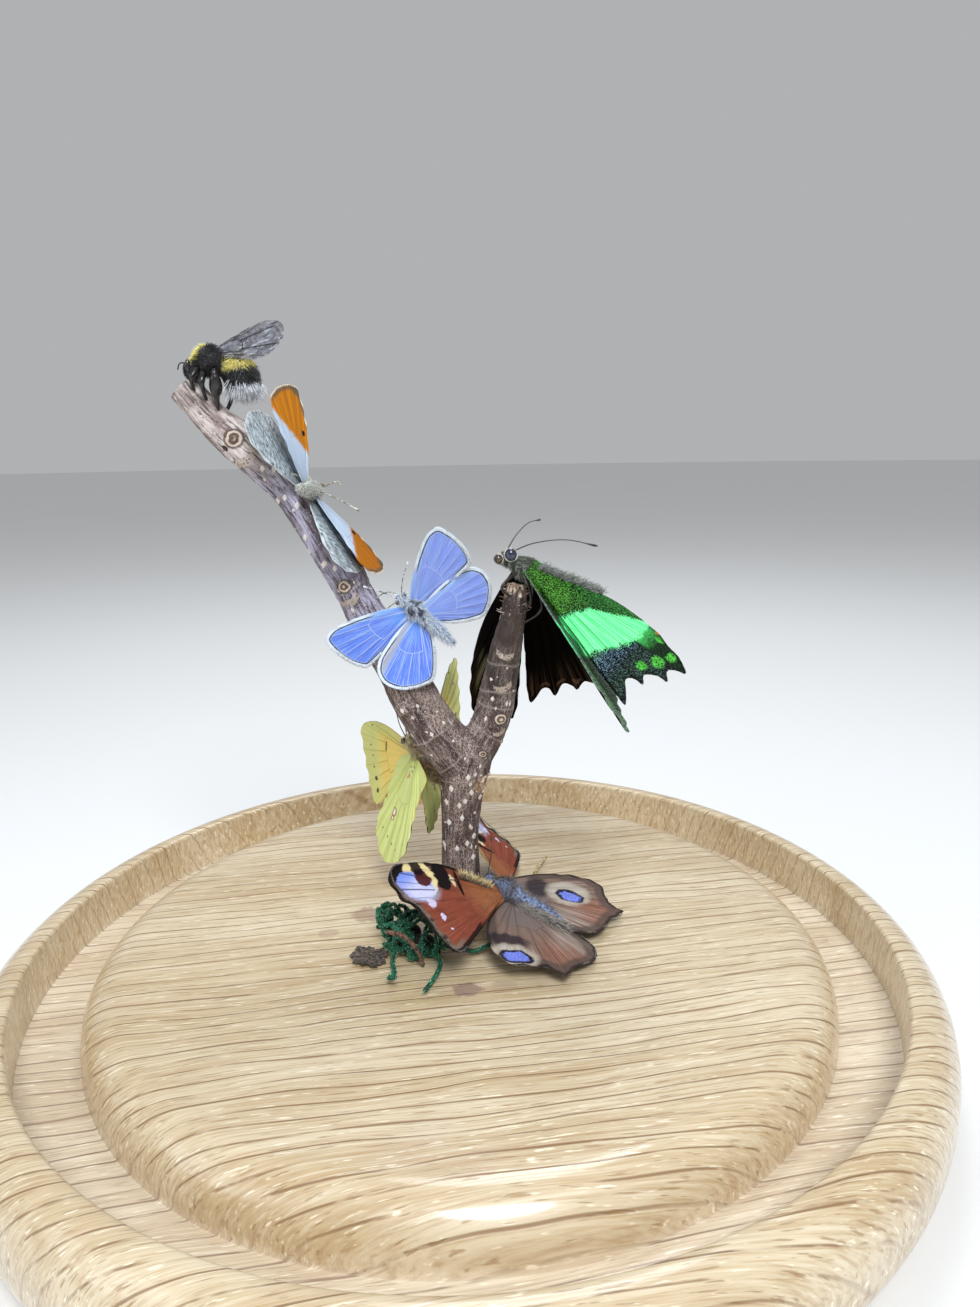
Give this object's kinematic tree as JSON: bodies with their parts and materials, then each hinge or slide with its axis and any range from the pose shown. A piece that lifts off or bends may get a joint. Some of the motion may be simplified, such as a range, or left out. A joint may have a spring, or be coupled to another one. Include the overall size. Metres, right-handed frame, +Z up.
{
  "type": "mounted insects on a twig with a grooved wooden dome base",
  "caption": "Dried butterflies and a bumblebee on a forked twig, standing on a turned round oak base with a groove for a glass dome.",
  "frame": {"origin": "middle of the base's flat underside", "axes": "+Z up the twig, -Y towards the viewer, +X to the viewer's right"},
  "size_m": [0.1832, 0.1832, 0.1377],
  "materials": {
    "oak": "turned oak under a satin clear coat",
    "bark": "dry grey-brown bark with pale pores",
    "orange_tip_scales": "white wings with orange tips, matt",
    "blue_scales": "violet-blue wings with a white fringe, soft sheen",
    "yellow_scales": "yellow-green undersides with an orange patch, matt",
    "green_scales": "black wings dusted and banded with bright green",
    "peacock_scales": "rust-red wings with eyespots, matt",
    "bee_fur": "black, yellow and white fur",
    "dyed_moss": "soft emerald moss",
    "thin_twig": "dark dry bark",
    "dry_scrap": "dry brown-black leaf scrap",
    "dry_grass": "dry straw"
  },
  "bodies": {
    "root": {"oak_base": "oak", "branch_trunk": "bark", "branch_left": "bark", "branch_right": "bark", "orange_tip_butterfly": "orange_tip_scales", "blue_butterfly": "blue_scales", "yellow_butterfly": "yellow_scales", "green_butterfly": "green_scales", "peacock_butterfly": "peacock_scales", "bumblebee": "bee_fur", "moss_clump": "dyed_moss", "bent_twig": "thin_twig", "dry_scrap": "dry_scrap", "grass_bit": "dry_grass"}
  },
  "joints": []
}
